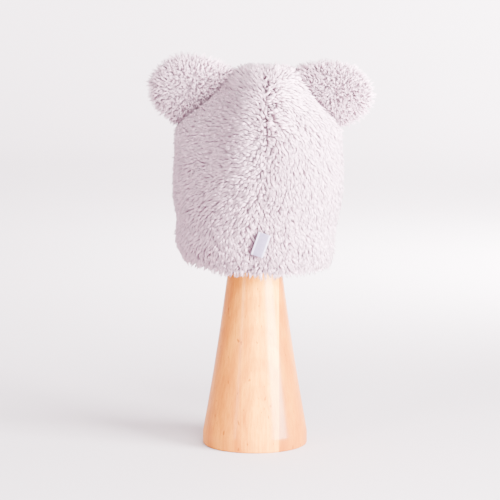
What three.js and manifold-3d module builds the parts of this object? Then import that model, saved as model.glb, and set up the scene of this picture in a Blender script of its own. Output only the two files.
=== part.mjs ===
// A baby's plush hat with two bear ears, on the turned wooden stand that holds it.
//
// Millimetres, +Z up. The origin is the centre of the stand's foot, on the surface that it stands on.
// -Y is the back of the hat, with its centre seam and its label, and +Y is the front, over the face.
//
// The hat is three panels of deep plush: two at the back, which meet in the centre back seam, and one at
// the front. Back and front meet in the crown seam, which runs up both sides and over the top in the plane
// y = 0. An ear is sewn onto that seam on each slope of the crown. A wall is its knitted backing and the
// pile on it. Inside, the crown sits on the ball at the top of the stand.

import * as THREE from "three";
import { mergeVertices } from "three/addons/utils/BufferGeometryUtils.js";
import Module from "manifold-3d";

const wasm = await Module();
wasm.setup();

// ---- Driving dimensions ----

const GAP = 0.3; // between two pieces that touch
const DEGREE = Math.PI / 180;

const HEM_HEIGHT = 172; // the hat's lower edge above the table, at the back
const HAT_RISE = 191; // from the hem to the top of the crown seam
const HALF_WIDTH = 82; // the hat at its widest
const HALF_DEPTH = 88;
const WALL = 8; // knitted backing and pile

const FOOT_RADIUS = 50;
const FOOT_EDGE = 2; // the bevelled lower edge of the foot
const FOOT_STRAIGHT = 12; // the upright rim of the foot
const NECK_RADIUS = 27; // the cone where the hat hides it
const NECK_HEIGHT = 158;
const CONE_HOLLOW = 1; // how far its sides curve in from a straight taper
const CONE_TOP = 205; // its flat top, inside the hat
const POST_RADIUS = 14; // between the cone and the ball
const BALL_RADIUS = 43.5;
const BALL_HEIGHT = 301; // of its middle: it meets the crown's two slopes
const CONE_SIDES = 48;
const BALL_SIDES = 32;

const LABEL_LENGTH = 22; // a folded ribbon, along the back seam
const LABEL_WIDTH = 11.5; // out from the seam
const LABEL_THICKNESS = 1;
const LABEL_LIFT = 1; // off the pile
const LABEL_LEAN = 19; // degrees clockwise, with its top to the right
const LABEL_FOOT = { side: -4, rise: 22 }; // its lower end on the seam

// Level sections from the hem to the crown seam: height above the hem, half the width, how far the back and
// the front reach from the crown seam, how far the middle lies to the right, and how square the section is
// (2 is an ellipse, and less comes to an edge along the back seam).
const SECTIONS = [
  { rise: 0, width: 71, back: 76, front: 76, shift: 1.5, square: 2.2 },
  { rise: 10, width: 74, back: 80, front: 80, shift: 1.5, square: 2.2 },
  { rise: 26, width: 76.5, back: 83.5, front: 83, shift: 0.5, square: 2.2 },
  { rise: 44, width: 77, back: 85.5, front: 84.5, shift: 2, square: 2.15 },
  { rise: 60, width: 80, back: 87, front: 86, shift: 2.5, square: 2.1 },
  { rise: 78, width: 81.5, back: 88, front: 87, shift: 3, square: 2.05 },
  { rise: 98, width: 81, back: 88, front: 87, shift: 3.5, square: 2 },
  { rise: 117, width: 80, back: 86, front: 85, shift: 3.5, square: 1.95 },
  { rise: 128, width: 80, back: 83, front: 82, shift: 3, square: 1.9 },
  { rise: 137, width: 77, back: 79, front: 78, shift: 3.5, square: 1.9 },
  { rise: 150, width: 62, back: 71, front: 70, shift: 5, square: 1.9 },
  { rise: 163, width: 48.5, back: 59, front: 58, shift: 7.5, square: 1.95 },
  { rise: 173, width: 38.5, back: 47, front: 46, shift: 9.5, square: 2 },
  { rise: 181, width: 31.5, back: 34.5, front: 34.5, shift: 10.5, square: 2 },
  { rise: 187, width: 28.5, back: 21.5, front: 21.5, shift: 11.5, square: 2 },
  { rise: 191, width: 21, back: 0, front: 0, shift: 12, square: 2 },
];

// The centre back seam: how far to the right it lies at each height above the hem.
const BACK_SEAM = [
  { rise: 0, side: -10 },
  { rise: 22, side: -4 },
  { rise: 43, side: 2.5 },
  { rise: 85, side: 7 },
  { rise: 135, side: 11 },
  { rise: 191, side: 9 },
];
const SEAM_GROOVE = 2.2; // how deep the stitches pull the pile in
const SEAM_GROOVE_REACH = 6;

// Folds and swellings: where they are, as an angle from +X towards the back and a height above the hem, how
// far they reach round the hat and up it, and how far out the surface moves there, or in.
const FOLDS = [
  { name: "swelling left of the back seam", angle: 102, rise: 140, round: 13, up: 42, out: 6 },
  { name: "hollow at the upper left of the back", angle: 133, rise: 116, round: 19, up: 40, out: -7 },
  { name: "swelling right of the back seam", angle: 72, rise: 140, round: 14, up: 40, out: 2.5 },
  { name: "fullness low at the back", angle: 112, rise: 48, round: 26, up: 30, out: 3 },
  { name: "crease low on the left side", angle: 172, rise: 43, round: 28, up: 9, out: -1.5 },
  { name: "roll of plush under that crease", angle: 168, rise: 24, round: 30, up: 10, out: 1 },
  { name: "crease low on the right side", angle: 12, rise: 38, round: 24, up: 14, out: -1.5 },
  { name: "slack at the front", angle: 250, rise: 58, round: 30, up: 18, out: -3 },
  { name: "fullness at the front", angle: 285, rise: 95, round: 30, up: 40, out: 2.5 },
];
const FOLD_FADE = 30; // below the crown seam, which stays straight
const LEFT_HEM_LIFT = 6; // the hem hangs higher at the left side

// Outline of an ear, from the lower end of its base to the end at the crown: how far along the base and
// how far out from it, as shares of the ear's length and height.
const EAR_OUTLINE = [
  { along: -0.02, out: 0.02 },
  { along: -0.08, out: 0.3 },
  { along: -0.07, out: 0.62 },
  { along: 0.05, out: 0.9 },
  { along: 0.27, out: 1 },
  { along: 0.47, out: 0.99 },
  { along: 0.66, out: 0.83 },
  { along: 0.84, out: 0.56 },
  { along: 0.95, out: 0.3 },
  { along: 1.0, out: 0.06 },
];
const EAR_ROOT = 9; // how deep an ear reaches below its base line before the crown cuts it
const EAR_THICKNESS = 25;
const EAR_FULLNESS = 3; // how flat its faces are between the rounded edges

// The ears: the two ends of the base line, each to the right of the middle and above the hem, the height
// above the base line, and how far the tip cups towards the front.
const EARS = [
  { name: "ear_left", low: [-74, 135], high: [-15, 181], height: 53, cup: 5 },
  { name: "ear_right", low: [83, 133], high: [37, 185], height: 46.5, cup: -4 },
];

// ---- Tables as smooth curves ----

// A column of a table at a place along it, on a curve through the rows.
function valueAt(rows, key, column, place) {
  const last = rows.length - 1;
  const row = (k) => rows[Math.min(Math.max(k, 0), last)];
  const i = Math.min(rows.findIndex((_, k) => k === last || place <= row(k + 1)[key]), last - 1);
  const slope = (k) => (row(k + 1)[column] - row(k - 1)[column]) / (row(k + 1)[key] - row(k - 1)[key]);
  const step = row(i + 1)[key] - row(i)[key];
  const t = (place - row(i)[key]) / step;
  const through = row(i)[column] * (1 + 2 * t) * (1 - t) ** 2 + row(i + 1)[column] * t * t * (3 - 2 * t);
  return through + step * t * (1 - t) * (slope(i) * (1 - t) - slope(i + 1) * t);
}

const bell = (distance, reach) => Math.exp(-((distance / reach) ** 2));

// ---- The hat's surface ----

// How far the folds move the surface out, at an angle in degrees and a height above the hem.
function foldAt(angle, rise) {
  return FOLDS.reduce((sum, fold) => {
    const apart = Math.abs(((angle - fold.angle + 540) % 360) - 180);
    return sum + fold.out * bell(apart, fold.round) * bell(rise - fold.rise, fold.up);
  }, 0);
}

// A point of the surface: the angle is in degrees from +X towards the back. The inset makes a smaller
// copy of the surface inside it, closer by that much at the sides, the back, the front and the top.
function surfacePoint(angle, rise, inset = 0) {
  const section = (column) => valueAt(SECTIONS, "rise", column, rise);
  const power = 2 / section("square");
  const [cosine, sine] = [Math.cos(angle * DEGREE), Math.sin(angle * DEGREE)];
  const across = Math.sign(cosine) * Math.abs(cosine) ** power;
  const behind = Math.sign(sine) * Math.abs(sine) ** power;
  const side = section("shift") + across * section("width");
  const fade = Math.min(1, (HAT_RISE - rise) / FOLD_FADE);
  const seam = behind > 0 ? bell(side - valueAt(BACK_SEAM, "rise", "side", rise), SEAM_GROOVE_REACH) : 0;
  const out = fade * (foldAt(angle, rise) - SEAM_GROOVE * seam);
  const depth = section(behind > 0 ? "back" : "front") + out;
  const lift = LEFT_HEM_LIFT * Math.max(0, -across) ** 2 * (1 - rise / HAT_RISE) ** 4;
  return new THREE.Vector3(
    (side + out * across) * (1 - inset / HALF_WIDTH),
    -behind * depth * (1 - inset / HALF_DEPTH),
    HEM_HEIGHT + (rise + lift) * (1 - inset / HAT_RISE),
  );
}

// The angle at which the back of the surface is as far to the right as side, by halving a range.
function angleAt(side, rise) {
  let [low, high] = [0, 180];
  for (let k = 0; k < 40; k++) {
    const middle = (low + high) / 2;
    if (surfacePoint(middle, rise).x > side) low = middle;
    else high = middle;
  }
  return (low + high) / 2;
}

const seamAngle = (rise) => angleAt(valueAt(BACK_SEAM, "rise", "side", rise), rise);

// ---- Solids ----

function geometryFrom(points, index) {
  const geometry = new THREE.BufferGeometry();
  const positions = points.flatMap((p) => [p.x, p.y, p.z]);
  geometry.setAttribute("position", new THREE.Float32BufferAttribute(positions, 3));
  geometry.setIndex(index);
  return geometry;
}

// A closed slab between two grids of points of one size. Seen from the outer side, rows go up and
// columns go round anticlockwise from above.
function slab(outer, inner) {
  const [rows, columns] = [outer.length, outer[0].length];
  const at = (sheet, j, i) => (sheet * rows + j) * columns + i;
  const index = [];
  const quad = (a, b, c, d) => index.push(a, b, c, a, c, d);
  for (let j = 0; j + 1 < rows; j++) {
    for (let i = 0; i + 1 < columns; i++) {
      quad(at(0, j, i), at(0, j, i + 1), at(0, j + 1, i + 1), at(0, j + 1, i));
      quad(at(1, j, i), at(1, j + 1, i), at(1, j + 1, i + 1), at(1, j, i + 1));
    }
    quad(at(0, j, 0), at(0, j + 1, 0), at(1, j + 1, 0), at(1, j, 0));
    quad(at(0, j + 1, columns - 1), at(0, j, columns - 1), at(1, j, columns - 1), at(1, j + 1, columns - 1));
  }
  for (let i = 0; i + 1 < columns; i++) {
    quad(at(0, 0, i + 1), at(0, 0, i), at(1, 0, i), at(1, 0, i + 1));
    quad(at(0, rows - 1, i), at(0, rows - 1, i + 1), at(1, rows - 1, i + 1), at(1, rows - 1, i));
  }
  return geometryFrom([...outer, ...inner].flat(), index);
}

function toManifold(geometry) {
  const merged = mergeVertices(geometry, 1e-4);
  const vertProperties = Float32Array.from(merged.attributes.position.array);
  const triVerts = Uint32Array.from(merged.index.array);
  return new wasm.Manifold(new wasm.Mesh({ numProp: 3, vertProperties, triVerts }));
}

function fromManifold(solid) {
  const mesh = solid.getMesh();
  const geometry = new THREE.BufferGeometry();
  geometry.setAttribute("position", new THREE.Float32BufferAttribute(mesh.vertProperties, mesh.numProp));
  geometry.setIndex(Array.from(mesh.triVerts));
  return geometry;
}

// ---- The panels ----

// Heights of a panel's rows, closer together where the crown rounds over.
const PANEL_ROWS = 24;
const panelRises = Array.from({ length: PANEL_ROWS + 1 }, (_, j) => {
  const share = j / PANEL_ROWS;
  return HAT_RISE * (0.4 * share + 0.6 * Math.sin((share * Math.PI) / 2));
});

// A panel between two edges, each given as its angle at a height. It keeps half a gap to the plane y = 0,
// on the side given as -1 for the back or 1 for the front, and to the back seam at a seam edge.
function panel(columns, from, to, side) {
  const sheet = (inset) =>
    panelRises.map((rise) => {
      const [start, end] = [from(rise), to(rise)];
      const row = Array.from({ length: columns + 1 }, (_, i) =>
        surfacePoint(start + ((end - start) * i) / columns, rise, inset),
      );
      row.forEach((point) => (point.y = side * Math.max(side * point.y, GAP / 2)));
      if (from === seamAngle) row[0].x -= GAP / 2;
      if (to === seamAngle) row[columns].x += GAP / 2;
      return row.reverse();
    });
  return slab(sheet(0), sheet(WALL));
}

const sideAngle = (degrees) => () => degrees;
const backRightPanel = panel(14, sideAngle(0), seamAngle, -1);
const backLeftPanel = panel(16, seamAngle, sideAngle(180), -1);
const frontPanel = panel(26, sideAngle(180), sideAngle(360), 1);

// ---- The label ----

// A point over the back of the hat, at a distance off its surface.
function overBack(side, rise, off) {
  const angle = angleAt(side, rise);
  const point = surfacePoint(angle, rise);
  const round = surfacePoint(angle + 1, rise).sub(surfacePoint(angle - 1, rise));
  const up = surfacePoint(angle, rise + 1).sub(surfacePoint(angle, rise - 1));
  return point.addScaledVector(up.cross(round).normalize(), off);
}

function label() {
  const [rows, columns] = [6, 4];
  const lean = LABEL_LEAN * DEGREE;
  const sheet = (off) =>
    Array.from({ length: rows + 1 }, (_, j) =>
      Array.from({ length: columns + 1 }, (_, i) => {
        const [up, out] = [(LABEL_LENGTH * j) / rows, (LABEL_WIDTH * i) / columns];
        const side = LABEL_FOOT.side + up * Math.sin(lean) + out * Math.cos(lean);
        const rise = LABEL_FOOT.rise + up * Math.cos(lean) - out * Math.sin(lean);
        return overBack(side, rise, off);
      }),
    );
  return slab(sheet(LABEL_LIFT + LABEL_THICKNESS), sheet(LABEL_LIFT));
}

// ---- The ears ----

// The crown as one solid, a gap larger than it is, which the roots of the ears are cut with.
function crownCutter() {
  const turns = 56;
  const rises = [90, ...panelRises.filter((rise) => rise > 100)];
  const rings = rises.map((rise) =>
    Array.from({ length: turns }, (_, i) => surfacePoint((360 * i) / turns, rise, -GAP * 1.5)),
  );
  const index = [];
  for (let j = 0; j + 1 < rings.length; j++) {
    for (let i = 0; i < turns; i++) {
      const [a, b] = [j * turns + i, j * turns + ((i + 1) % turns)];
      index.push(a, a + turns, b + turns, a, b + turns, b);
    }
  }
  for (let i = 1; i + 1 < turns; i++) index.push(0, i, i + 1);
  return toManifold(geometryFrom(rings.flat(), index));
}

// The outline as a closed curve in the ear's own plane, with its root below the base line.
function earOutline(length, height) {
  const edge = EAR_OUTLINE.map((row) => new THREE.Vector3(row.along * length, row.out * height, 0));
  const root = [0.88, 0.5, 0.12].map((share) => new THREE.Vector3(share * length, -EAR_ROOT, 0));
  return new THREE.CatmullRomCurve3([...edge, ...root], true, "centripetal");
}

// A cushion on that outline: rings from the middle of one face, over the edge, to the middle of the other.
function earSolid(ear, cutter) {
  const [around, rings] = [36, 12];
  const low = new THREE.Vector3(ear.low[0], 0, HEM_HEIGHT + ear.low[1]);
  const high = new THREE.Vector3(ear.high[0], 0, HEM_HEIGHT + ear.high[1]);
  const along = high.clone().sub(low);
  const length = along.length();
  along.normalize();
  const toOutside = Math.sign(ear.low[0] - ear.high[0]);
  const up = new THREE.Vector3(-toOutside * along.z, 0, toOutside * along.x).negate();
  const outline = earOutline(length, ear.height).getSpacedPoints(around).slice(0, around);
  const middle = new THREE.Vector3(0.42 * length, 0.42 * ear.height, 0);
  const place = (flat, depth) => {
    const cup = ear.cup * Math.max(0, flat.y / ear.height) ** 2;
    return low.clone().addScaledVector(along, flat.x).addScaledVector(up, flat.y).setY(depth + cup);
  };
  const points = [place(middle, EAR_THICKNESS / 2)];
  for (let j = 1; j < rings; j++) {
    const turn = (Math.PI * j) / rings;
    const share = Math.sin(turn) ** (2 / EAR_FULLNESS);
    const depth = (Math.sign(Math.cos(turn)) * Math.abs(Math.cos(turn)) * EAR_THICKNESS) / 2;
    outline.forEach((edge) => points.push(place(middle.clone().lerp(edge, share), depth)));
  }
  points.push(place(middle, -EAR_THICKNESS / 2));
  const index = [];
  const face = (a, b, c) => (toOutside < 0 ? index.push(a, b, c) : index.push(a, c, b));
  for (let i = 0; i < around; i++) {
    const next = (i + 1) % around;
    face(0, 1 + i, 1 + next);
    for (let j = 0; j + 2 < rings; j++) {
      const [a, b] = [1 + j * around + i, 1 + j * around + next];
      face(a, a + around, b + around);
      face(a, b + around, b);
    }
    face(points.length - 1, points.length - 1 - around + next, points.length - 1 - around + i);
  }
  return fromManifold(toManifold(geometryFrom(points, index)).subtract(cutter));
}

// ---- The stand ----

// Radius of the cone at a height: a taper from the foot to the neck, curved in a little between them.
function coneRadius(height) {
  const share = (height - FOOT_STRAIGHT) / (NECK_HEIGHT - FOOT_STRAIGHT);
  const taper = FOOT_RADIUS + (NECK_RADIUS - FOOT_RADIUS) * share;
  return taper - CONE_HOLLOW * Math.sin(Math.PI * Math.min(share, 1));
}

// A solid turned round the Z axis, from a profile of radius and height that starts and ends on the axis.
function turned(profile, sides) {
  const lathe = new THREE.LatheGeometry(profile.map(([r, z]) => new THREE.Vector2(r, z)), sides);
  lathe.deleteAttribute("normal");
  lathe.deleteAttribute("uv");
  return mergeVertices(lathe.rotateX(Math.PI / 2), 1e-4);
}

function standCone() {
  const steps = 8;
  const sides = Array.from({ length: steps + 1 }, (_, k) => {
    const height = FOOT_STRAIGHT + ((CONE_TOP - FOOT_STRAIGHT) * k) / steps;
    return [coneRadius(height), height];
  });
  const foot = [[0, 0], [FOOT_RADIUS - FOOT_EDGE, 0], [FOOT_RADIUS, FOOT_EDGE]];
  return turned([...foot, ...sides, [0, CONE_TOP]], CONE_SIDES);
}

// The ball holds the crown from inside, on a short post.
function standBall() {
  const steps = 11;
  const start = Math.asin(POST_RADIUS / BALL_RADIUS);
  const arc = Array.from({ length: steps + 1 }, (_, k) => {
    const turn = start + ((Math.PI - start) * k) / steps;
    return [BALL_RADIUS * Math.sin(turn), BALL_HEIGHT - BALL_RADIUS * Math.cos(turn)];
  });
  arc[steps][0] = 0;
  return turned([[0, CONE_TOP + GAP], [POST_RADIUS, CONE_TOP + GAP], ...arc], BALL_SIDES);
}

// ---- The assembly ----

const plush = new THREE.MeshStandardMaterial({ color: 0xdfd6db, roughness: 1, metalness: 0 });
const ribbon = new THREE.MeshStandardMaterial({ color: 0xe6e2f0, roughness: 0.45, metalness: 0 });
const wood = new THREE.MeshStandardMaterial({ color: 0xf2cda4, roughness: 0.4, metalness: 0 });

const object = new THREE.Group();

function add(name, geometry, material) {
  const mesh = new THREE.Mesh(geometry, material);
  mesh.name = name;
  object.add(mesh);
}

add("stand_cone", standCone(), wood);
add("stand_ball", standBall(), wood);
add("back_left_panel", backLeftPanel, plush);
add("back_right_panel", backRightPanel, plush);
add("front_panel", frontPanel, plush);
add("seam_label", label(), ribbon);
const cutter = crownCutter();
EARS.forEach((ear) => add(ear.name, earSolid(ear, cutter), plush));

export default object;
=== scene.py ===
# %% [markdown]
# # A baby's plush hat with bear ears, on its wooden stand
#
# The hat is cut from plush: a knitted backing with a deep pile that falls into small pointed locks. Two
# back panels meet in a seam down the middle, a front panel closes it, and two padded ears sit on the
# crown. This lesson builds the cloth, pads the ears by a cloth simulation, and then grows the pile as
# real geometry.
#
# The construction model comes first. It is the frame: every piece is placed by its nodes, and nothing in
# it is moved. Blender works in metres here, in the same frame, with +Z up and the back of the hat
# towards -Y.

# %% Load the frame
import math

import bmesh
import bpy
import numpy as np
from mathutils import Matrix, Vector, noise
from mathutils.bvhtree import BVHTree
from mathutils.kdtree import KDTree


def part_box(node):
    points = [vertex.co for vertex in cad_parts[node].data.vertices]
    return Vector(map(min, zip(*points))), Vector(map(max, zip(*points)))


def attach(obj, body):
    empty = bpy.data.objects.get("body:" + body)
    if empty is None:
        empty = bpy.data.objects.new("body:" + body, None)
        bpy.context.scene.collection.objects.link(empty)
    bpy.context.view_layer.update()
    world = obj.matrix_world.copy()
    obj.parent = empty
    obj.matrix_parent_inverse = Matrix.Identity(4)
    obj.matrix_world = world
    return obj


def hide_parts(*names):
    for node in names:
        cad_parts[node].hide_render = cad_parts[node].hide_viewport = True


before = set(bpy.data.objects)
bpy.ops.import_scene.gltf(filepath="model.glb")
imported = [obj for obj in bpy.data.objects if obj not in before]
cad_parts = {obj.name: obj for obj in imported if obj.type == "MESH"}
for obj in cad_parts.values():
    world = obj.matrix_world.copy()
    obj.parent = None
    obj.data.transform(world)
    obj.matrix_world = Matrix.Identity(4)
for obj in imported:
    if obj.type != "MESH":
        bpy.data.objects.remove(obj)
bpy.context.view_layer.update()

MM = 0.001
BODY = "root"

# %% [markdown]
# ## The camera
#
# A long lens from two metres away keeps the hat's sides nearly parallel, as in a shop's product picture.
# The camera stands behind the hat, a little above its middle, and looks slightly down. It is made before
# anything else, so that every later step can be looked at.

# %% Camera
CAMERA_DISTANCE = 1.951
CAMERA_HEIGHT = 0.440
CAMERA_SIDE = -0.0047
CAMERA_TILT = math.radians(7.4)
LENS = 148.9

camera_data = bpy.data.cameras.new("camera")
camera_data.lens = LENS
camera_data.sensor_width = 36
camera = bpy.data.objects.new("camera", camera_data)
bpy.context.scene.collection.objects.link(camera)
camera.location = (CAMERA_SIDE, -CAMERA_DISTANCE, CAMERA_HEIGHT)
camera.rotation_euler = (math.radians(90) - CAMERA_TILT, 0, 0)
bpy.context.scene.camera = camera
print("camera at", [round(v, 3) for v in camera.location])

# %% [markdown]
# ## The studio
#
# A pale floor that curves up into a wall all round leaves no horizon from any side. Its outline is one
# quarter arc, and a full spin makes the bowl. Soft light comes from area lights: a big low one at the
# right, a weak one above the camera, and a narrow strip at the left that draws a shine on the wood.
# Three more light the paper behind, brighter at the right than at the left, and a pale world fills the
# rest.

# %% Helpers for meshes and modifiers
def finish_piece(bm, name):
    mesh = bpy.data.meshes.new(name)
    bm.to_mesh(mesh)
    bm.free()
    piece = bpy.data.objects.new(name, mesh)
    bpy.context.scene.collection.objects.link(piece)
    mesh.polygons.foreach_set("use_smooth", [True] * len(mesh.polygons))
    print(f"{name}: {len(mesh.polygons)} faces")
    return piece


def modifier(piece, kind, **settings):
    made = piece.modifiers.new(kind.lower(), kind)
    for key, value in settings.items():
        setattr(made, key, value)


def spin_full(bm, geom, steps):
    """One full turn round the upright axis, with the last ring joined to the first."""
    bmesh.ops.spin(
        bm, geom=geom, axis=(0, 0, 1), cent=(0, 0, 0), angle=math.tau, steps=steps, use_merge=True
    )


def apply_modifiers(piece):
    graph = bpy.context.evaluated_depsgraph_get()
    mesh = bpy.data.meshes.new_from_object(piece.evaluated_get(graph))
    piece.modifiers.clear()
    old, piece.data = piece.data, mesh
    bpy.data.meshes.remove(old)
    return piece


# %% Floor and wall in one bowl
FLOOR_RADIUS = 3.2
BEND_RADIUS = 1.6
WALL_HEIGHT = 4.0
BEND_STEPS = 12
BOWL_STEPS = 96
JOIN = 0.01 * MM  # points closer than this are one

bm = bmesh.new()
edge = [bm.verts.new((0, 0, 0)), bm.verts.new((FLOOR_RADIUS, 0, 0))]
for step in range(1, BEND_STEPS + 1):
    turn = math.radians(90) * step / BEND_STEPS
    side = FLOOR_RADIUS + BEND_RADIUS * math.sin(turn)
    edge.append(bm.verts.new((side, 0, BEND_RADIUS * (1 - math.cos(turn)))))
edge.append(bm.verts.new((FLOOR_RADIUS + BEND_RADIUS, 0, WALL_HEIGHT)))
edges = [bm.edges.new(pair) for pair in zip(edge, edge[1:])]
spin_full(bm, edge + edges, BOWL_STEPS)
bmesh.ops.remove_doubles(bm, verts=bm.verts, dist=JOIN)
bmesh.ops.recalc_face_normals(bm, faces=bm.faces)
bmesh.ops.reverse_faces(bm, faces=bm.faces)
studio = finish_piece(bm, "studio")

# %% Lights
def area_light(name, place, aim, size, power, spread=180):
    data = bpy.data.lights.new(name, "AREA")
    data.shape = "RECTANGLE"
    data.size, data.size_y = size
    data.energy = power
    data.spread = math.radians(spread)
    light = bpy.data.objects.new(name, data)
    bpy.context.scene.collection.objects.link(light)
    light.location = place
    light.rotation_euler = (Vector(aim) - Vector(place)).to_track_quat("-Z", "Y").to_euler()
    light.visible_camera = False


HAT_MIDDLE = (0, 0, 0.24)
area_light("key", (1.93, -1.25, 0.56), HAT_MIDDLE, (1.4, 1.05), 1080)
area_light("front_top", (0.45, -1.5, 1.8), HAT_MIDDLE, (1.1, 1.0), 140)
area_light("left_strip", (-1.53, -1.58, 0.8), HAT_MIDDLE, (0.18, 1.4), 55)
area_light("back_right", (1.1, 1.0, 0.7), (-0.1, 1.7, 0), (0.5, 0.8), 160, spread=120)
area_light("wall_right", (2.8, 2.6, 1.8), (1.4, 4.6, 1.0), (0.8, 1.6), 950, spread=140)
area_light("wall_left", (-2.6, 3.0, 1.3), (-1.0, 4.6, 1.0), (0.8, 1.6), 20, spread=130)
world = bpy.data.worlds.new("studio_air")
world.use_nodes = True
world.node_tree.nodes["Background"].inputs["Color"].default_value = (1, 0.985, 0.99, 1)
world.node_tree.nodes["Background"].inputs["Strength"].default_value = 0.45
bpy.context.scene.world = world
print("area lights and a pale world")

# %% [markdown]
# ## Materials
#
# Each finish is a Principled BSDF with its own nodes. What several finishes share is a node group with
# named inputs: mottling, which is soft patches of tone, is one. A group puts out colours or heights
# only, and the plain numbers sit on the shader's own sockets.

# %% Helpers for materials
def new_material(name, roughness, **sockets):
    material = bpy.data.materials.new(name)
    material.use_nodes = True
    shader = material.node_tree.nodes["Principled BSDF"]
    shader.inputs["Roughness"].default_value = roughness
    for key, value in sockets.items():
        shader.inputs[key.replace("_", " ").title()].default_value = value
    return material, material.node_tree, shader


def node(tree, kind, place, **settings):
    made = tree.nodes.new(kind)
    made.location = place
    for key, value in settings.items():
        if key in made.inputs:
            made.inputs[key].default_value = value
        else:
            setattr(made, key, value)
    return made


def ramp(tree, place, stops):
    made = tree.nodes.new("ShaderNodeValToRGB")
    made.location = place
    elements = made.color_ramp.elements
    while len(elements) < len(stops):
        elements.new(0.5)
    for element, (position, colour) in zip(elements, stops):
        element.position = position
        element.color = (*colour, 1)
    return made


# %% Mottling: a node group
mottle = bpy.data.node_groups.new("mottle", "ShaderNodeTree")
mottle.interface.new_socket("Vector", in_out="INPUT", socket_type="NodeSocketVector")
mottle.interface.new_socket("Scale", in_out="INPUT", socket_type="NodeSocketFloat")
mottle.interface.new_socket("Dark", in_out="INPUT", socket_type="NodeSocketColor")
mottle.interface.new_socket("Light", in_out="INPUT", socket_type="NodeSocketColor")
mottle.interface.new_socket("Color", in_out="OUTPUT", socket_type="NodeSocketColor")
mottle.interface.new_socket("Mask", in_out="OUTPUT", socket_type="NodeSocketFloat")
group_in = node(mottle, "NodeGroupInput", (-600, 0))
group_out = node(mottle, "NodeGroupOutput", (300, 0))
patches = node(mottle, "ShaderNodeTexNoise", (-400, 0), Detail=3.0, Roughness=0.6)
contrast = node(mottle, "ShaderNodeMapRange", (-200, 0))
contrast.inputs["From Min"].default_value = 0.3
contrast.inputs["From Max"].default_value = 0.7
blend = node(mottle, "ShaderNodeMix", (50, 0), data_type="RGBA")
mottle.links.new(group_in.outputs["Vector"], patches.inputs["Vector"])
mottle.links.new(group_in.outputs["Scale"], patches.inputs["Scale"])
mottle.links.new(patches.outputs["Fac"], contrast.inputs["Value"])
mottle.links.new(contrast.outputs["Result"], blend.inputs[0])
mottle.links.new(group_in.outputs["Dark"], blend.inputs[6])
mottle.links.new(group_in.outputs["Light"], blend.inputs[7])
mottle.links.new(blend.outputs[2], group_out.inputs["Color"])
mottle.links.new(contrast.outputs["Result"], group_out.inputs["Mask"])
print("node group mottle")


def add_mottle(tree, place, scale, dark, light):
    group = tree.nodes.new("ShaderNodeGroup")
    group.node_tree = mottle
    group.location = place
    group.inputs["Scale"].default_value = scale
    group.inputs["Dark"].default_value = (*dark, 1)
    group.inputs["Light"].default_value = (*light, 1)
    return group


# %% Studio paper
paper, tree, shader = new_material("studio_paper", 0.85)
coordinates = node(tree, "ShaderNodeTexCoord", (-700, 0))
tone = add_mottle(tree, (-400, 0), scale=0.6, dark=(0.54, 0.475, 0.505), light=(0.57, 0.50, 0.53))
tree.links.new(coordinates.outputs["Object"], tone.inputs["Vector"])
tree.links.new(tone.outputs["Color"], shader.inputs["Base Color"])
studio.data.materials.append(paper)

# %% Plush
# The pile's colour runs from a dark root to a pale tip, a painted shade standing for the shade deep in
# the pile, and each lock is a little lighter or darker than the next. Both come from attributes that the
# locks carry, so the pattern stays on them. The ears' pile is denser, and its copy of the material is
# lighter, with a less
# dark root: painted light on the ears.
# Painted shade: the root colour stands for the shade deep in the pile, not for a dye.
PLUSH_ROOT_PAINTED_SHADE = (0.24, 0.125, 0.175)
PLUSH_MIDDLE = (0.56, 0.38, 0.455)
PLUSH_TIP = (0.83, 0.60, 0.69)
TUFT_BEND = 0.45  # how far along a tuft it bends, which is also where the middle colour is
# The ears' root is less dark and their tones lighter than the rest of the pile's: painted light on the
# ears.
EAR_ROOT_PAINTED_SHADE = (0.44, 0.29, 0.355)


def plush_material(name, sheen, root, darkest, lightest):
    material, tree, shader = new_material(name, 0.9, sheen_weight=sheen, sheen_roughness=0.45)
    shader.inputs["Specular IOR Level"].default_value = 0.15
    # along carries painted shade: each tuft's dark root, and whole tufts kept dark in the creases and the
    # hollow.
    along = node(tree, "ShaderNodeAttribute", (-900, 100), attribute_name="along")
    tone = node(tree, "ShaderNodeAttribute", (-900, -200), attribute_name="tone")
    fade = ramp(tree, (-650, 100), [(0.0, root), (TUFT_BEND, PLUSH_MIDDLE), (1.0, PLUSH_TIP)])
    shift = node(tree, "ShaderNodeMapRange", (-650, -200))
    shift.inputs["To Min"].default_value = darkest
    shift.inputs["To Max"].default_value = lightest
    tint = node(tree, "ShaderNodeMix", (-300, 0), data_type="RGBA", blend_type="MULTIPLY")
    tint.inputs[0].default_value = 1
    tree.links.new(along.outputs["Fac"], fade.inputs["Fac"])
    tree.links.new(tone.outputs["Fac"], shift.inputs["Value"])
    tree.links.new(fade.outputs["Color"], tint.inputs[6])
    tree.links.new(shift.outputs["Result"], tint.inputs[7])
    tree.links.new(tint.outputs[2], shader.inputs["Base Color"])
    return material


plush = plush_material("plush_pile", sheen=0.1, root=PLUSH_ROOT_PAINTED_SHADE, darkest=0.78, lightest=1.1)
# A lighter copy of the plush for the ears: painted light.
ear_plush_painted_lighter = plush_material("ear_pile", sheen=0.15, root=EAR_ROOT_PAINTED_SHADE, darkest=0.88, lightest=1.16)

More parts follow.
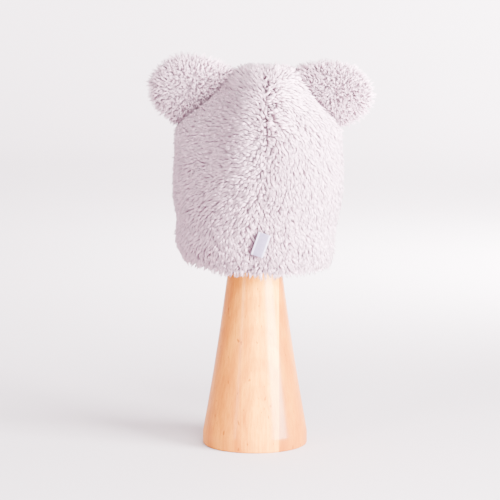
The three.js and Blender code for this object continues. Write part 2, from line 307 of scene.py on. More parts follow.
# %% Knitted backing
backing, tree, shader = new_material("knitted_backing", 0.95, sheen_weight=0.2)
coordinates = node(tree, "ShaderNodeTexCoord", (-900, 0))
tone = add_mottle(tree, (-500, 150), scale=60, dark=(0.36, 0.25, 0.30), light=(0.45, 0.33, 0.385))
wales = node(tree, "ShaderNodeTexWave", (-500, -150), Scale=380.0, Distortion=1.5)
courses = node(tree, "ShaderNodeTexWave", (-500, -400), bands_direction="Z", Scale=300.0, Distortion=1.0)
knit = node(tree, "ShaderNodeMath", (-300, -250), operation="MULTIPLY")
relief = node(tree, "ShaderNodeBump", (-120, -200), Strength=0.5, Distance=0.4 * MM)
tree.links.new(coordinates.outputs["Object"], tone.inputs["Vector"])
tree.links.new(coordinates.outputs["Object"], wales.inputs["Vector"])
tree.links.new(coordinates.outputs["Object"], courses.inputs["Vector"])
tree.links.new(wales.outputs["Fac"], knit.inputs[0])
tree.links.new(courses.outputs["Fac"], knit.inputs[1])
tree.links.new(knit.outputs["Value"], relief.inputs["Height"])
tree.links.new(tone.outputs["Color"], shader.inputs["Base Color"])
tree.links.new(relief.outputs["Normal"], shader.inputs["Normal"])

# %% Satin ribbon
# A woven ribbon has an edge of tighter threads along both sides. Both edges are painted lighter than the
# middle: partly that woven edge, partly a painted highlight for the light caught along the tag's edge.
# The mapping turns the coordinates to lie along the tag, so that the edges are two bands at the same
# distance from its middle.
TAG_LEAN = math.radians(19)
TAG_HALF_WIDTH = 5.75 * MM
SELVEDGE = 1.7 * MM
SELVEDGE_BLUR = 0.2 * MM
# Lighter than the ribbon: partly the woven edge, partly a painted highlight.
SELVEDGE_AND_HIGHLIGHT_TONE = (0.38, 0.34, 0.46)
tag_low, tag_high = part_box("seam_label")

ribbon, tree, shader = new_material("satin_ribbon", 0.42, sheen_weight=0.3)
coordinates = node(tree, "ShaderNodeTexCoord", (-900, 0))
tone = add_mottle(tree, (-500, 150), scale=300, dark=(0.17, 0.135, 0.235), light=(0.21, 0.17, 0.275))
threads = node(tree, "ShaderNodeTexWave", (-500, -150), bands_direction="Z", Scale=700.0, Distortion=0.4)
relief = node(tree, "ShaderNodeBump", (-120, -200), Strength=0.35, Distance=0.15 * MM)
tree.links.new(coordinates.outputs["Object"], tone.inputs["Vector"])
tree.links.new(coordinates.outputs["Object"], threads.inputs["Vector"])
tree.links.new(threads.outputs["Fac"], relief.inputs["Height"])
tree.links.new(relief.outputs["Normal"], shader.inputs["Normal"])
along_tag = node(tree, "ShaderNodeMapping", (-900, 400), vector_type="TEXTURE")
along_tag.inputs["Location"].default_value = (tag_low + tag_high) / 2
along_tag.inputs["Rotation"].default_value = (0, TAG_LEAN, 0)
axes = node(tree, "ShaderNodeSeparateXYZ", (-700, 400))
from_middle = node(tree, "ShaderNodeMath", (-500, 400), operation="ABSOLUTE")
edge = node(tree, "ShaderNodeMapRange", (-300, 400))
edge.inputs["From Min"].default_value = TAG_HALF_WIDTH - SELVEDGE
edge.inputs["From Max"].default_value = TAG_HALF_WIDTH - SELVEDGE + SELVEDGE_BLUR
firm_edge_and_highlight = node(tree, "ShaderNodeMix", (-120, 200), data_type="RGBA")
firm_edge_and_highlight.inputs[7].default_value = (*SELVEDGE_AND_HIGHLIGHT_TONE, 1)
tree.links.new(coordinates.outputs["Object"], along_tag.inputs["Vector"])
tree.links.new(along_tag.outputs["Vector"], axes.inputs["Vector"])
tree.links.new(axes.outputs["X"], from_middle.inputs[0])
tree.links.new(from_middle.outputs["Value"], edge.inputs["Value"])
tree.links.new(edge.outputs["Result"], firm_edge_and_highlight.inputs[0])
tree.links.new(tone.outputs["Color"], firm_edge_and_highlight.inputs[6])
tree.links.new(firm_edge_and_highlight.outputs[2], shader.inputs["Base Color"])

# %% Wood
# The block is glued up from four boards that meet at upright planes, and each has a tone of its own. The
# third board, from 11.5 to 22.5 mm, is left lightest where the key light's reflection falls: partly its
# own tone, partly a painted highlight. The grain runs up the cone as broad soft bands and fine lines. A
# cut through the growth rings leaves a faint arch low at the back. The clear lacquer is a coat with a
# fine unevenness of its own.
BOARD_REACH = 60 * MM
BOARD_EDGES = [-BOARD_REACH, -13 * MM, 11.5 * MM, 22.5 * MM, BOARD_REACH]
JOINT_LINE = 0.002  # the share of the ramp over which one board's tone gives way to the next
# The third tone, the lightest, is partly a painted highlight where the key light's reflection falls.
BOARD_TONES_AND_HIGHLIGHT = [(0.86, 0.75, 0.6), (0.95, 0.88, 0.75), (1, 1, 1), (0.45, 0.33, 0.14)]
ARCH_CENTRE = (5 * MM, 0, 30 * MM)
ARCH_STRETCH = 0.45

wood, tree, shader = new_material("turned_wood", 0.5, coat_weight=0.2, coat_roughness=0.2)
shader.inputs["Specular IOR Level"].default_value = 0.1
shader.inputs["Specular Tint"].default_value = (1, 0.7, 0.4, 1)
shader.inputs["Coat Tint"].default_value = (1, 0.92, 0.78, 1)
coordinates = node(tree, "ShaderNodeTexCoord", (-1700, 0))
upright = node(tree, "ShaderNodeMapping", (-1400, 300))
upright.inputs["Scale"].default_value = (1, 1, 0.09)
fine = node(tree, "ShaderNodeMapping", (-1400, -100))
fine.inputs["Scale"].default_value = (1, 1, 0.04)
short = node(tree, "ShaderNodeMapping", (-1400, -500))
short.inputs["Scale"].default_value = (1, 1, 0.4)
arch = node(tree, "ShaderNodeMapping", (-1400, -900))
arch.inputs["Scale"].default_value = (1, 1, ARCH_STRETCH)
arch.inputs["Location"].default_value = (-ARCH_CENTRE[0], 0, -ARCH_CENTRE[2] * ARCH_STRETCH)
axes = node(tree, "ShaderNodeSeparateXYZ", (-1400, 600))
bands = node(tree, "ShaderNodeTexNoise", (-1100, 300), Scale=42.0, Detail=4.0, Distortion=0.6)
grain = node(tree, "ShaderNodeTexNoise", (-1100, -50), Scale=480.0, Detail=5.0, Roughness=0.7)
flecks = node(tree, "ShaderNodeTexNoise", (-1100, -400), Scale=420.0, Detail=0.0)
rings = node(
    tree, "ShaderNodeTexWave", (-1100, -800), wave_type="RINGS", rings_direction="Y", Scale=26.0,
    Distortion=2.5, Detail=2.0,
)
honey = [(0.3, (0.60, 0.21, 0.012)), (0.48, (0.74, 0.29, 0.018)), (0.68, (0.86, 0.38, 0.03))]
colour = ramp(tree, (-800, 300), honey)
lines = ramp(tree, (-800, -50), [(0.35, (0.70, 0.58, 0.42)), (0.6, (1, 1, 1))])
specks = ramp(tree, (-800, -400), [(0.19, (0.35, 0.20, 0.12)), (0.215, (1, 1, 1))])
arches = ramp(tree, (-800, -800), [(0.3, (0.86, 0.76, 0.6)), (0.7, (1, 1, 1))])
board = node(tree, "ShaderNodeMapRange", (-1100, 600))
board.inputs["From Min"].default_value = -BOARD_REACH
board.inputs["From Max"].default_value = BOARD_REACH
board_stops = []
for start, end, tone in zip(BOARD_EDGES, BOARD_EDGES[1:], BOARD_TONES_AND_HIGHLIGHT):
    board_stops.append((0.5 + start / (2 * BOARD_REACH) + JOINT_LINE, tone))
    board_stops.append((0.5 + end / (2 * BOARD_REACH), tone))
boards = ramp(tree, (-800, 600), board_stops)
for mapping in (upright, fine, short, arch):
    tree.links.new(coordinates.outputs["Object"], mapping.inputs["Vector"])
for mapping, texture in ((upright, bands), (fine, grain), (short, flecks), (arch, rings)):
    tree.links.new(mapping.outputs["Vector"], texture.inputs["Vector"])
tree.links.new(coordinates.outputs["Object"], axes.inputs["Vector"])
tree.links.new(axes.outputs["X"], board.inputs["Value"])
tree.links.new(board.outputs["Result"], boards.inputs["Fac"])
for texture, fade in ((bands, colour), (grain, lines), (flecks, specks), (rings, arches)):
    tree.links.new(texture.outputs["Fac"], fade.inputs["Fac"])
finish = colour
for layer, share in ((lines, 0.8), (specks, 0.7), (arches, 0.6), (boards, 1.0)):
    beside = (finish.location.x + 250, 150)
    mixed = node(tree, "ShaderNodeMix", beside, data_type="RGBA", blend_type="MULTIPLY")
    mixed.inputs[0].default_value = share
    tree.links.new(finish.outputs["Color" if finish is colour else 2], mixed.inputs[6])
    tree.links.new(layer.outputs["Color"], mixed.inputs[7])
    finish = mixed
relief = node(tree, "ShaderNodeBump", (-200, -300), Strength=0.12, Distance=0.2 * MM)
peel = node(tree, "ShaderNodeTexNoise", (-450, -500), Scale=1100.0, Detail=1.0)
lacquer = node(tree, "ShaderNodeBump", (-200, -500), Strength=0.3, Distance=0.1 * MM)
tree.links.new(finish.outputs[2], shader.inputs["Base Color"])
tree.links.new(grain.outputs["Fac"], relief.inputs["Height"])
tree.links.new(relief.outputs["Normal"], shader.inputs["Normal"])
tree.links.new(coordinates.outputs["Object"], peel.inputs["Vector"])
tree.links.new(peel.outputs["Fac"], lacquer.inputs["Height"])
tree.links.new(lacquer.outputs["Normal"], shader.inputs["Coat Normal"])
print("materials:", [m.name for m in bpy.data.materials if not m.name.startswith("Material")])

# %% [markdown]
# ## The stand
#
# The real stand is turned on a lathe: a straight rim at the foot and a long cone with slightly hollow
# sides. Its profile is drawn once and spun round the axis, which is what a lathe does. The foot's edges
# are bevelled, because a turner never leaves them sharp. The construction model's cone gives the sizes.

# %% Profile and spin
SPIN_STEPS = 128
BEVEL_SEGMENTS = 4
CONE_SECTIONS = 12
BALL_SECTIONS = 24
foot_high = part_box("stand_cone")[1]
FOOT_RADIUS = foot_high.x
FOOT_STRAIGHT = 12 * MM
NECK_RADIUS = 27 * MM
NECK_HEIGHT = 158 * MM
CONE_HOLLOW = 1 * MM


def cone_radius(height):
    share = (height - FOOT_STRAIGHT) / (NECK_HEIGHT - FOOT_STRAIGHT)
    taper = FOOT_RADIUS + (NECK_RADIUS - FOOT_RADIUS) * share
    return taper - CONE_HOLLOW * math.sin(math.pi * min(share, 1))


def turn_on_lathe(profile, name, rounded=()):
    """A solid of revolution. rounded lists (radius, height, bevel) of the edges to round over."""
    bm = bmesh.new()
    verts = [bm.verts.new((r, 0, z)) for r, z in profile]
    edges = [bm.edges.new(pair) for pair in zip(verts, verts[1:])]
    spin_full(bm, verts + edges, SPIN_STEPS)
    bmesh.ops.remove_doubles(bm, verts=bm.verts, dist=JOIN / 10)
    bmesh.ops.recalc_face_normals(bm, faces=bm.faces)
    for radius, height, size in rounded:
        here = Vector((radius, height))
        ring = [
            e for e in bm.edges
            if all((Vector((v.co.xy.length, v.co.z)) - here).length < JOIN for v in e.verts)
        ]
        bmesh.ops.bevel(
            bm, geom=ring, offset=size, affect="EDGES", segments=BEVEL_SEGMENTS, profile=0.5, material=-1
        )
    return finish_piece(bm, name)


rise = (foot_high.z - FOOT_STRAIGHT) / CONE_SECTIONS
sides = [FOOT_STRAIGHT + rise * k for k in range(CONE_SECTIONS + 1)]
profile = [(0, 0), (FOOT_RADIUS, 0), *[(cone_radius(z), z) for z in sides], (0, foot_high.z)]
cone = turn_on_lathe(
    profile, "turned_cone", rounded=[(FOOT_RADIUS, 0, 2 * MM), (FOOT_RADIUS, FOOT_STRAIGHT, 1.5 * MM)]
)
cone.data.materials.append(wood)
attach(cone, BODY)
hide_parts("stand_cone")

# %% The hidden ball
ball_low, ball_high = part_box("stand_ball")
BALL_RADIUS = (ball_high.x - ball_low.x) / 2
BALL_CENTRE = ball_high.z - BALL_RADIUS
POST_RADIUS = 14 * MM
start = math.asin(POST_RADIUS / BALL_RADIUS)
turns = [start + (math.pi - start) * k / BALL_SECTIONS for k in range(BALL_SECTIONS)]
arc = [(BALL_RADIUS * math.sin(t), BALL_CENTRE - BALL_RADIUS * math.cos(t)) for t in turns]
ball = turn_on_lathe(
    [(0, ball_low.z), (POST_RADIUS, ball_low.z), *arc, (0, ball_high.z)], "stand_ball_turned"
)
plain_wood = wood.copy()
plain_wood.name = "sanded_wood"
plain_wood.node_tree.nodes["Principled BSDF"].inputs["Coat Weight"].default_value = 0
ball.data.materials.append(plain_wood)
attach(ball, BODY)
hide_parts("stand_ball")

# %% [markdown]
# ## The cloth of the hat
#
# A panel of plush is a thin knitted backing with the pile standing on it. The construction model holds
# each panel as one thick wall, out to where the pile ends. So the backing is made from that wall: a copy
# of its outer face is drawn in by the height of the pile, a second copy goes a little further in, and a
# bridge closes the edge between them. The seams then fall exactly where the panels of the frame meet.

# %% Sizes of the hat, from the frame
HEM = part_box("back_right_panel")[0].z
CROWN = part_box("front_panel")[1].z
HALF_WIDTH = 82 * MM
HALF_DEPTH = 88 * MM
PILE_HEIGHT = 5.2 * MM
WALL = 8 * MM
HEM_TUCK = 2.5 * MM
HEM_BAND = 30 * MM
HEM_RISE_START = 25 * MM
HEM_RISE_LEFT = 6 * MM
HEM_RISE_RIGHT = 3 * MM
HEM_CENTRE = Vector((0, 0, HEM))
PANELS = ("back_left_panel", "back_right_panel", "front_panel")
QUAD_SKEW = 60
print("hem at", round(HEM / MM, 1), "mm, crown at", round(CROWN / MM, 1), "mm")


def merged_copy(name):
    """A CAD node's mesh as a bmesh, with its loose triangles joined."""
    bm = bmesh.new()
    bm.from_mesh(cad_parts[name].data)
    bmesh.ops.remove_doubles(bm, verts=bm.verts, dist=JOIN)
    return bm


def join_to_quads(bm, most_bend):
    """Joins pairs of triangles that bend by less than this many degrees and come near to a rectangle."""
    bmesh.ops.join_triangles(
        bm, faces=bm.faces, angle_face_threshold=math.radians(most_bend),
        angle_shape_threshold=math.radians(QUAD_SKEW),
    )


def draw_in(bm, verts, inset):
    """Scales verts about the middle of the hem, so that the surface comes closer by the inset."""
    factors = Vector((1 - inset / HALF_WIDTH, 1 - inset / HALF_DEPTH, 1 - inset / (CROWN - HEM)))
    bmesh.ops.scale(bm, vec=factors, space=Matrix.Translation(-HEM_CENTRE), verts=verts)


# %% The outer face of a panel, smoothed
FACES_OUTWARD = 20 * MM  # an outer face's plane passes at least this far from the middle of the hem


def outer_sheet(name):
    bm = merged_copy(name)
    others = [f for f in bm.faces if f.normal.dot(f.calc_center_median() - HEM_CENTRE) < FACES_OUTWARD]
    bmesh.ops.delete(bm, geom=others, context="FACES")
    join_to_quads(bm, most_bend=40)
    sheet = finish_piece(bm, f"{name}_sheet")
    modifier(sheet, "SUBSURF", levels=1, render_levels=1)
    return apply_modifiers(sheet)


sheets = {name: outer_sheet(name) for name in PANELS}


# %% The backing: two faces and a bridge between their edges
def hem_rise(x):
    """How far the backing's edge sits above the hem: the hat is drawn up a little at its sides."""
    aside = min(1, max(0, (abs(x) - HEM_RISE_START) / (HALF_WIDTH - HEM_RISE_START)))
    return HEM_TUCK + (HEM_RISE_LEFT if x < 0 else HEM_RISE_RIGHT) * aside


def backing_from(sheet, name):
    bm = bmesh.new()
    bm.from_mesh(sheet.data)
    draw_in(bm, bm.verts, PILE_HEIGHT)
    for v in bm.verts:
        v.co.z += hem_rise(v.co.x) * max(0, 1 - (v.co.z - HEM) / HEM_BAND)
    bm.to_mesh(sheet.data)
    outer_edges = [e for e in bm.edges if e.is_boundary]
    copied = bmesh.ops.duplicate(bm, geom=bm.verts[:] + bm.edges[:] + bm.faces[:])["geom"]
    inner_verts = [g for g in copied if isinstance(g, bmesh.types.BMVert)]
    inner_faces = [g for g in copied if isinstance(g, bmesh.types.BMFace)]
    inner_edges = [g for g in copied if isinstance(g, bmesh.types.BMEdge) and g.is_boundary]
    draw_in(bm, inner_verts, WALL - PILE_HEIGHT)
    bmesh.ops.reverse_faces(bm, faces=inner_faces)
    bmesh.ops.bridge_loops(bm, edges=outer_edges + inner_edges)
    bmesh.ops.recalc_face_normals(bm, faces=bm.faces)
    piece = finish_piece(bm, name)
    piece.data.materials.append(backing)
    return piece


for name in PANELS:
    cloth = backing_from(sheets[name], name.replace("panel", "backing"))
    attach(cloth, BODY)
    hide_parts(name)

# %% [markdown]
# ## The ears
#
# Each ear is two pieces of plush sewn together and lightly filled, so it is padded. Padding is the work
# of a cloth simulation: the ear's form is remeshed into even small faces, the cloth is blown up a little
# from inside with no gravity, and the root stays pinned, because it is sewn into the crown seam. How far
# a point may move is capped, so that the ear keeps its place.

# %% From the frame's ear to a form to fill
EAR_VOXEL = 3.2 * MM
EAR_PILE = 4.2 * MM
ROOT_BAND = 2.0 * MM
ROOT_REACH = 4.4 * MM
EAR_FRAMES = 20
EAR_PRESSURE = 25
EAR_CAP = 2.5 * MM
SMOOTHING = 0.4
SMOOTHING_ROUNDS = 3


def tree_of(pieces):
    """A search tree that finds the nearest place on any of the pieces."""
    bm = bmesh.new()
    for piece in pieces:
        bm.from_mesh(piece.data)
    tree = BVHTree.FromBMesh(bm)
    bm.free()
    return tree


crown = tree_of([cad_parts[name] for name in PANELS])


def ear_form(name):
    """The ear under its pile: drawn in all over, but let down at its root to meet the crown's backing."""
    form = finish_piece(merged_copy(name), f"{name}_form")
    modifier(form, "REMESH", mode="VOXEL", voxel_size=EAR_VOXEL)
    apply_modifiers(form)
    bm = bmesh.new()
    bm.from_mesh(form.data)
    bm.normal_update()
    root = []
    moves = []
    for v in bm.verts:
        near, normal, _, distance = crown.find_nearest(v.co)
        if distance < ROOT_BAND:
            root.append(v.index)
            moves.append(-normal * ROOT_REACH)
        else:
            moves.append(-v.normal * EAR_PILE)
    for v, move in zip(bm.verts, moves):
        v.co += move
    for _ in range(SMOOTHING_ROUNDS):
        bmesh.ops.smooth_vert(
            bm, verts=bm.verts, factor=SMOOTHING, use_axis_x=True, use_axis_y=True, use_axis_z=True
        )
    bm.to_mesh(form.data)
    bm.free()
    print(f"{form.name}: {len(form.data.vertices)} points, {len(root)} of them in the root")
    return form, root


# %% Padding by simulation
def pad(form, root):
    group = form.vertex_groups.new(name="root")
    group.add(root, 1.0, "REPLACE")
    before = np.array([v.co for v in form.data.vertices])
    cloth = form.modifiers.new("cloth", "CLOTH")
    cloth.settings.quality = 5
    cloth.settings.use_pressure = True
    cloth.settings.uniform_pressure_force = EAR_PRESSURE
    cloth.settings.vertex_group_mass = "root"
    cloth.settings.effector_weights.gravity = 0
    cloth.point_cache.frame_start = 1
    cloth.point_cache.frame_end = EAR_FRAMES
    for step in range(1, EAR_FRAMES + 1):
        bpy.context.scene.frame_set(step)
    apply_modifiers(form)
    bpy.context.scene.frame_set(1)
    after = np.array([v.co for v in form.data.vertices])
    move = after - before
    length = np.linalg.norm(move, axis=1, keepdims=True)
    move *= np.minimum(1, EAR_CAP / np.maximum(length, 1e-9))
    form.data.vertices.foreach_set("co", (before + move).ravel())
    form.data.update()
    print(f"{form.name}: filled, up to {length.max() / MM:.1f} mm before the cap")


ears = {}
for name in ("ear_left", "ear_right"):
    ear, root = ear_form(name)
    pad(ear, root)
    modifier(ear, "SUBSURF", levels=1, render_levels=1)
    apply_modifiers(ear)
    ear.name = f"{name}_padded"
    ear.data.materials.clear()
    ear.data.materials.append(backing)
    ears[name] = ear
    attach(ear, BODY)
    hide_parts(name)

# %% [markdown]
# ## The seam tag
#
# A short piece of satin ribbon is folded and caught in the back seam. It is left blank. Its shape and
# place are the frame's, smoothed, with the free edge lifted off the pile a little, as a real tag does.

# %% Tag
TAG_LIFT = 1.2 * MM
TAG_BEVEL = 0.3 * MM
bm = merged_copy("seam_label")
join_to_quads(bm, most_bend=30)
for v in bm.verts:
    across = (v.co.x - tag_low.x) / (tag_high.x - tag_low.x)
    v.co.y -= TAG_LIFT * across**2
tag = finish_piece(bm, "seam_tag")
modifier(tag, "BEVEL", width=TAG_BEVEL, segments=2)
modifier(tag, "SUBSURF", levels=1, render_levels=1)
apply_modifiers(tag)
tag.data.materials.clear()
tag.data.materials.append(ribbon)
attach(tag, BODY)
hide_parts("seam_label")

# %% [markdown]
# ## The pile
#
# Plush pile isn't single hairs to the eye: the fibres gather in locks, each a few millimetres wide with
# a pointed end. So the pile is made from two sets of points. Widely spaced points are the locks, with a
# direction, a length and a tone each. Closely spaced ones are the tufts, and each tuft leans towards the
# tip of its lock. A tuft is a small curved spike with three sides: seven points are enough, because tens
# of thousands of them are joined in one mesh.

# %% Points spread evenly over a surface
def triangles_of(piece):
    mesh = piece.data
    mesh.calc_loop_triangles()
    corners = np.empty(len(mesh.loop_triangles) * 3, np.int32)
    mesh.loop_triangles.foreach_get("vertices", corners)
    points = np.empty(len(mesh.vertices) * 3)
    normals = np.empty(len(mesh.vertices) * 3)
    mesh.vertices.foreach_get("co", points)
    mesh.vertex_normals.foreach_get("vector", normals)
    corners = corners.reshape(-1, 3)
    return points.reshape(-1, 3)[corners], normals.reshape(-1, 3)[corners]


def unit(vectors):
    return vectors / np.maximum(np.linalg.norm(vectors, axis=1, keepdims=True), 1e-12)


def tree_over(points):
    tree = KDTree(len(points))
    for i, point in enumerate(points):
        tree.insert(point, i)
    tree.balance()
    return tree


CROWDING = 4  # points tried for each that the spacing leaves room for


def scatter(piece, spacing, rng):
    """Points no closer than the spacing, with the surface's normal at each."""
    points, normals = triangles_of(piece)
    area = np.linalg.norm(np.cross(points[:, 1] - points[:, 0], points[:, 2] - points[:, 0]), axis=1) / 2
    count = int(CROWDING * area.sum() / spacing**2)
    chosen = rng.choice(len(area), count, p=area / area.sum())
    u, v = np.sqrt(rng.random(count)), rng.random(count)
    weights = np.stack([1 - u, u * (1 - v), u * v], axis=1)[:, :, None]
    places = (points[chosen] * weights).sum(axis=1)
    facing = unit((normals[chosen] * weights).sum(axis=1))
    tree = tree_over(places)
    free = np.ones(count, bool)
    for i in range(count):
        if free[i]:
            for _, j, _ in tree.find_range(places[i], spacing):
                if j > i:
                    free[j] = False
    return places[free], facing[free]


# %% Growing the locks
STAND_ANGLE = math.radians(62)  # of a tuft's lower part above the surface
ROOT_DEPTH = 0.4 * MM
TUFT_LENGTHS = (0.85, 1.12)  # of a tuft, as shares of its lock's length
TUFT_WIDTHS = (0.8, 1.2)
BEND_WIDTH = 0.85  # of a tuft's bend, as a share of its root's
STRAY = 0.13  # how much a tuft strays from its lock's direction
PULL = (0.45, 0.88)  # how far a tuft's tip is drawn to the tip of its lock
BEND_PULL = 0.35
SHORTEST = 0.35  # the share of its length that a tuft keeps where it has no room
# Painted shade: tufts near the ears and the tag darken as they lose room, standing for the shade in those
# creases.
PAINTED_CREASE_SHADE = 2.2  # how fast a tuft darkens as it loses room
SPIKE = np.array([[math.cos(a), math.sin(a)] for a in (0, math.tau / 3, math.tau * 2 / 3)])
SPIKE_FACES = [(0, 2, 1), (0, 1, 4, 3), (1, 2, 5, 4), (2, 0, 3, 5), (3, 4, 6), (4, 5, 6), (5, 3, 6)]
SPIKE_POINTS = 7
SPIKE_TRIANGLES = 10
SPIKE_HEIGHTS = [0, 0, 0, TUFT_BEND, TUFT_BEND, TUFT_BEND, 1.0]


def tuft_piece(name, points, tones, pale, material):
    """One mesh of tufts, from seven points for each: a root and a bend of three points, and a tip. pale
    is how far towards the tip's colour each tuft comes; less of it is painted shade."""
    count = len(points)
    base = np.arange(count)[:, None] * SPIKE_POINTS
    faces = [row for shape in SPIKE_FACES for row in (base + np.array(shape)).tolist()]
    mesh = bpy.data.meshes.new(name)
    mesh.from_pydata(points.reshape(-1, 3).tolist(), [], faces)
    mesh.polygons.foreach_set("use_smooth", [True] * len(mesh.polygons))
    height = mesh.attributes.new("along", "FLOAT", "POINT")
    height.data.foreach_set("value", np.outer(pale, SPIKE_HEIGHTS).ravel())
    tone = mesh.attributes.new("tone", "FLOAT", "POINT")
    tone.data.foreach_set("value", np.repeat(tones, SPIKE_POINTS))
    mesh.materials.append(material)
    pile = bpy.data.objects.new(name, mesh)
    bpy.context.scene.collection.objects.link(pile)
    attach(pile, BODY)
    print(f"{name}: {count * SPIKE_TRIANGLES} triangles")


def grow(names, surface, comb, spacing, lock_spacing, width, material, seed, trim):
    """A pile on a surface. comb(points, normals, rng) gives each lock's direction along the surface, the
    angle at which its tip stands, its length, and how pale it comes, where less pale is painted shade.
    Nothing grows through the pieces in trim, and near them the tufts are shorter and darker, a painted
    shade. With two names, the tufts on the left are the first piece and the others the second."""
    rng = np.random.default_rng(seed)
    lock_places, lock_facing = scatter(surface, lock_spacing, rng)
    lie, lock_angle, lock_length, lock_unshaded_share = comb(lock_places, lock_facing, rng)
    lock_tone = rng.random(len(lock_places))
    tree = tree_over(lock_places)
    places, facing = scatter(surface, spacing, rng)
    lock = np.array([tree.find(place)[1] for place in places])
    room = np.ones(len(places))
    for bvh, near, far in trim:
        distance = np.array([bvh.find_nearest(place)[3] for place in places])
        room = np.minimum(room, np.clip((distance - near) / (far - near), 0, 1))
    kept = room > 0
    places, facing, lock, room = places[kept], facing[kept], lock[kept], room[kept]
    count = len(places)
    along = lie[lock] + rng.normal(0, STRAY, (count, 3))
    along = unit(along - facing * (along * facing).sum(axis=1, keepdims=True))
    length = lock_length[lock] * rng.uniform(*TUFT_LENGTHS, count) * (SHORTEST + (1 - SHORTEST) * room)
    length = length[:, None]
    tip_angle = lock_angle[lock][:, None]
    rise = facing * math.sin(STAND_ANGLE) + along * math.cos(STAND_ANGLE)
    fall = facing * np.sin(tip_angle) + along * np.cos(tip_angle)
    bend = places + rise * length * TUFT_BEND
    tip = bend + fall * length * (1 - TUFT_BEND)
    lock_fall = lock_facing * np.sin(lock_angle)[:, None] + lie * np.cos(lock_angle)[:, None]
    lock_rise = lock_facing * math.sin(STAND_ANGLE) + lie * math.cos(STAND_ANGLE)
    lock_tip = lock_places + (lock_rise * TUFT_BEND + lock_fall * (1 - TUFT_BEND)) * lock_length[:, None]
    pull = rng.uniform(*PULL, count)[:, None]
    shift = (lock_tip[lock] - tip) * pull * room[:, None]
    tip = tip + shift
    bend = bend + shift * BEND_PULL
    root = places - facing * ROOT_DEPTH
    across = unit(np.cross(tip - root, facing))
    over = unit(np.cross(across, tip - root))
    half = (width * rng.uniform(*TUFT_WIDTHS, count) / 2)[:, None, None]
    ring = across[:, None, :] * SPIKE[None, :, :1] + over[:, None, :] * SPIKE[None, :, 1:]
    low_ring = root[:, None, :] + ring * half
    bend_ring = bend[:, None, :] + ring * half * BEND_WIDTH
    points = np.concatenate([low_ring, bend_ring, tip[:, None, :]], axis=1)
    tones = lock_tone[lock]
    # Painted shade: tufts short of room, at the ears and beside the tag, and the locks in the hollow keep
    # nearer the dark root colour.
    pale = room ** PAINTED_CREASE_SHADE * lock_unshaded_share[lock]
    print(f"{count} tufts in {len(lock_places)} locks")
    left = places[:, 0] < 0
    sides = (left, ~left) if len(names) == 2 else (np.ones(count, bool),)
    for name, side in zip(names, sides):
        tuft_piece(name, points[side], tones[side], pale[side], material)


# %% [markdown]
# How the pile lies gives the hat its look. On the right panel it falls straight down. On the left it is
# brushed away from the seam, nearly level near the crown and slanting lower down. Beside the upper seam
# it stands up and parts to both sides, and left of that ridge the pile in a hollow is painted darker:
# painted shade.
# Each rule is a direction, measured as a turn from straight down towards the left, which changes
# smoothly with the place.

# %% Combing: what all the pile shares
# Angles are in degrees here. Heights are shares of the way from the hem to the crown.
DRIFT = 24  # how far the slow change over the surface turns the pile
DRIFT_SIZE = 17 * MM
DRIFT_GAIN = 1.6  # brings the noise to about -1 to 1
NEARLY_FLAT = 0.15  # the least slope that has a way down
CROWN_PARTING = 12 * MM
CROWN_TOP = (0.86, 0.97)  # the heights over which the pile comes to stand up
CROWN_LIFT = 40
LIE_SPREAD = 9


def smooth_step(value, low, high):
    t = np.clip((value - low) / (high - low), 0, 1)
    return t * t * (3 - 2 * t)


def bell(value, width):
    return np.exp(-((value / width) ** 2))


def wander(points, seed):
    """Slow random change over the surface, from about -1 to 1."""
    shift = Vector((seed, 0, 0))
    return np.array([noise.noise(Vector(p) / DRIFT_SIZE + shift) for p in points]) * DRIFT_GAIN


def height_share(points):
    return (points[:, 2] - HEM) / (CROWN - HEM)


def directions(points, normals, turn):
    """The tangent that points down the surface, turned towards the left by an angle each."""
    down = np.array([0, 0, -1.0]) - normals * -normals[:, 2:3]
    flat = np.linalg.norm(down, axis=1, keepdims=True) < NEARLY_FLAT
    sideways = np.sign(points[:, :1] - CROWN_PARTING) * np.array([[1.0, 0, 0]])
    down = unit(np.where(flat, sideways, down))
    left = np.cross(down, normals)
    return down * np.cos(turn)[:, None] + left * np.sin(turn)[:, None]


# %% Combing the back
# Distances aside are shares of the hat's half width, measured from the seam.
SEAM_SIDES = [(0, -10), (22, -4), (43, 2.5), (85, 7), (135, 11), (191, 9)]  # height and side, in mm
BRUSHED = (0.56, 0.72)  # the heights over which the upper pile's brushing sets in
LEFT_TURN = 24
LEFT_TURN_HIGH = 62  # added over LEFT_HEIGHTS
LEFT_HEIGHTS = (0.12, 0.66)
LEFT_TURN_SEAM = 16  # added beside the upper seam
RIGHT_TURN = 6
RIGHT_TURN_SEAM = 50  # added beside the upper seam, and fading over RIGHT_FADE
RIGHT_FADE = 0.16
TURN_SPREAD = 13
TURN_SPREAD_SEAM = 22
SEAM_WIDTH = 0.1
SEAM_STRAIGHT = 0.9  # the share of the turn that the lower seam takes away
SEAM_CROSSING = 0.03  # how far locks reach over the seam
BACK_LIE = 19
RIDGE_LIFT = 26
RIDGE_WIDTH = 0.2
RIDGE_GROWTH = 0.2
BACK_LENGTH = 8.0 * MM
BACK_LENGTHS = (0.75, 1.2)
PARTING_WIDTH = 0.07
PARTING_CUT = 0.4  # the share of its length that the pile loses at the seam's top
HOLLOW_PLACE = -0.38
HOLLOW_WIDTH = 0.13
HOLLOW_HEIGHTS = (0.5, 0.7)
# Painted shade: how much darker the pile in the hollow is painted.
HOLLOW_PAINTED_SHADE = 0.3


def seam_side(z):
    heights, sides = zip(*SEAM_SIDES)
    return np.interp((z - HEM) / MM, heights, sides) * MM


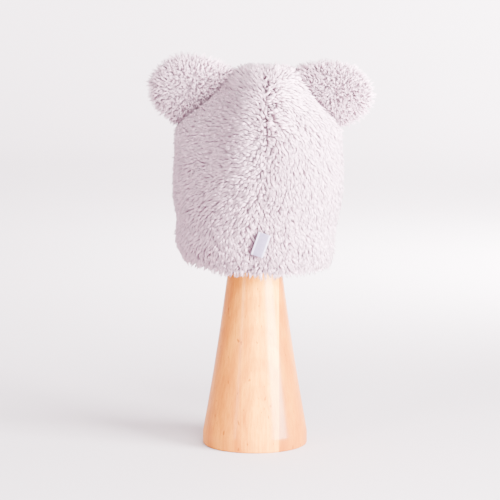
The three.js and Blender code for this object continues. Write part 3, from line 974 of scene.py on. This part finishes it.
def comb_back(points, normals, rng):
    count = len(points)
    aside = (points[:, 0] - seam_side(points[:, 2])) / HALF_WIDTH
    height = height_share(points)
    high = smooth_step(height, *BRUSHED)
    top = smooth_step(height, *CROWN_TOP)
    seam = bell(aside, SEAM_WIDTH)
    ridge = bell(aside, RIDGE_WIDTH) * high
    hollow = bell(aside - HOLLOW_PLACE, HOLLOW_WIDTH) * smooth_step(height, *HOLLOW_HEIGHTS)
    rising = LEFT_TURN_HIGH * smooth_step(height, *LEFT_HEIGHTS)
    left = np.radians(LEFT_TURN + rising + LEFT_TURN_SEAM * seam * high)
    right = -np.radians(RIGHT_TURN + RIGHT_TURN_SEAM * np.exp(-aside / RIGHT_FADE) * high)
    crossing = rng.normal(0, SEAM_CROSSING, count)
    turn = np.where(aside < crossing, left, right) * (1 - SEAM_STRAIGHT * seam * (1 - high))
    turn += math.radians(DRIFT) * wander(points, 3.7)
    turn += rng.normal(0, 1, count) * np.radians(TURN_SPREAD + TURN_SPREAD_SEAM * seam)
    angle = np.radians(BACK_LIE + RIDGE_LIFT * ridge + CROWN_LIFT * top)
    angle += rng.normal(0, math.radians(LIE_SPREAD), count)
    length = BACK_LENGTH * (1 + RIDGE_GROWTH * ridge) * rng.uniform(*BACK_LENGTHS, count)
    length *= 1 - PARTING_CUT * bell(aside, PARTING_WIDTH) * top
    # Painted shade in the hollow left of the ridge: its locks stay nearer the dark root colour.
    pale = 1 - HOLLOW_PAINTED_SHADE * hollow * (1 - top)
    return directions(points, normals, turn), angle, length, pale


# %% Combing the front and the ears
FRONT_TURN_SPREAD = 14
FRONT_LIE = 20
FRONT_LENGTH = 8.2 * MM
FRONT_LENGTHS = (0.8, 1.18)
EAR_TURN_SPREAD = 55
EAR_LIE = 60
EAR_LIE_SPREAD = 14
EAR_LENGTH = 8.0 * MM
EAR_LENGTHS = (0.7, 1.2)


def comb_front(points, normals, rng):
    count = len(points)
    turn = math.radians(DRIFT) * wander(points, 8.1)
    turn += rng.normal(0, math.radians(FRONT_TURN_SPREAD), count)
    angle = np.radians(FRONT_LIE + CROWN_LIFT * smooth_step(height_share(points), *CROWN_TOP))
    angle += rng.normal(0, math.radians(LIE_SPREAD), count)
    length = FRONT_LENGTH * rng.uniform(*FRONT_LENGTHS, count)
    return directions(points, normals, turn), angle, length, np.ones(count)


def comb_ear(points, normals, rng):
    count = len(points)
    outward = points - points.mean(axis=0)
    outward = unit(outward - normals * (outward * normals).sum(axis=1, keepdims=True))
    across = np.cross(outward, normals)
    turn = rng.normal(0, math.radians(EAR_TURN_SPREAD), count)[:, None]
    angle = np.radians(EAR_LIE) + rng.normal(0, math.radians(EAR_LIE_SPREAD), count)
    length = EAR_LENGTH * rng.uniform(*EAR_LENGTHS, count)
    return outward * np.cos(turn) + across * np.sin(turn), angle, length, np.ones(count)


# %% What the pile must leave room for
# Each entry holds a search tree, the distance up to which nothing grows, and the distance from which the
# pile has its full length. In between, the tufts are shorter and darker: painted shade in the creases at
# the ears and the crown, and a painted shadow along the tag's edge.
ear_room = [(tree_of([ear]), 1.0 * MM, 4.8 * MM) for ear in ears.values()]
tag_room = (tree_of([tag]), 5.6 * MM, 7 * MM)
crown_room = (crown, 0.2 * MM, 3.0 * MM)

# %% The panels' pile
BACK_SPACING = 0.8 * MM
FRONT_SPACING = 0.95 * MM
LOCK_SPACING = 2.0 * MM
TUFT_WIDTH = 0.85 * MM
FRONT_TUFT_WIDTH = TUFT_WIDTH * 1.15

for name, seed in (("back_left_panel", 11), ("back_right_panel", 12)):
    grow(
        [name.replace("panel", "pile")], sheets[name], comb_back, BACK_SPACING,
        LOCK_SPACING, TUFT_WIDTH, plush, seed, trim=[*ear_room, tag_room],
    )
grow(
    ["front_left_pile", "front_right_pile"], sheets["front_panel"], comb_front, FRONT_SPACING,
    LOCK_SPACING, FRONT_TUFT_WIDTH, plush, 13, trim=ear_room,
)

# %% The ears' pile
EAR_SPACING = 0.72 * MM
EAR_LOCK_SPACING = 1.2 * MM
EAR_TUFT_WIDTH = 0.7 * MM

for name, seed in (("ear_left", 21), ("ear_right", 22)):
    grow(
        [f"{name}_pile"], ears[name], comb_ear, EAR_SPACING, EAR_LOCK_SPACING, EAR_TUFT_WIDTH,
        ear_plush_painted_lighter, seed, trim=[crown_room],
    )

# %% Clear away the sheets, which were only there to grow on
for sheet in sheets.values():
    bpy.data.objects.remove(sheet)
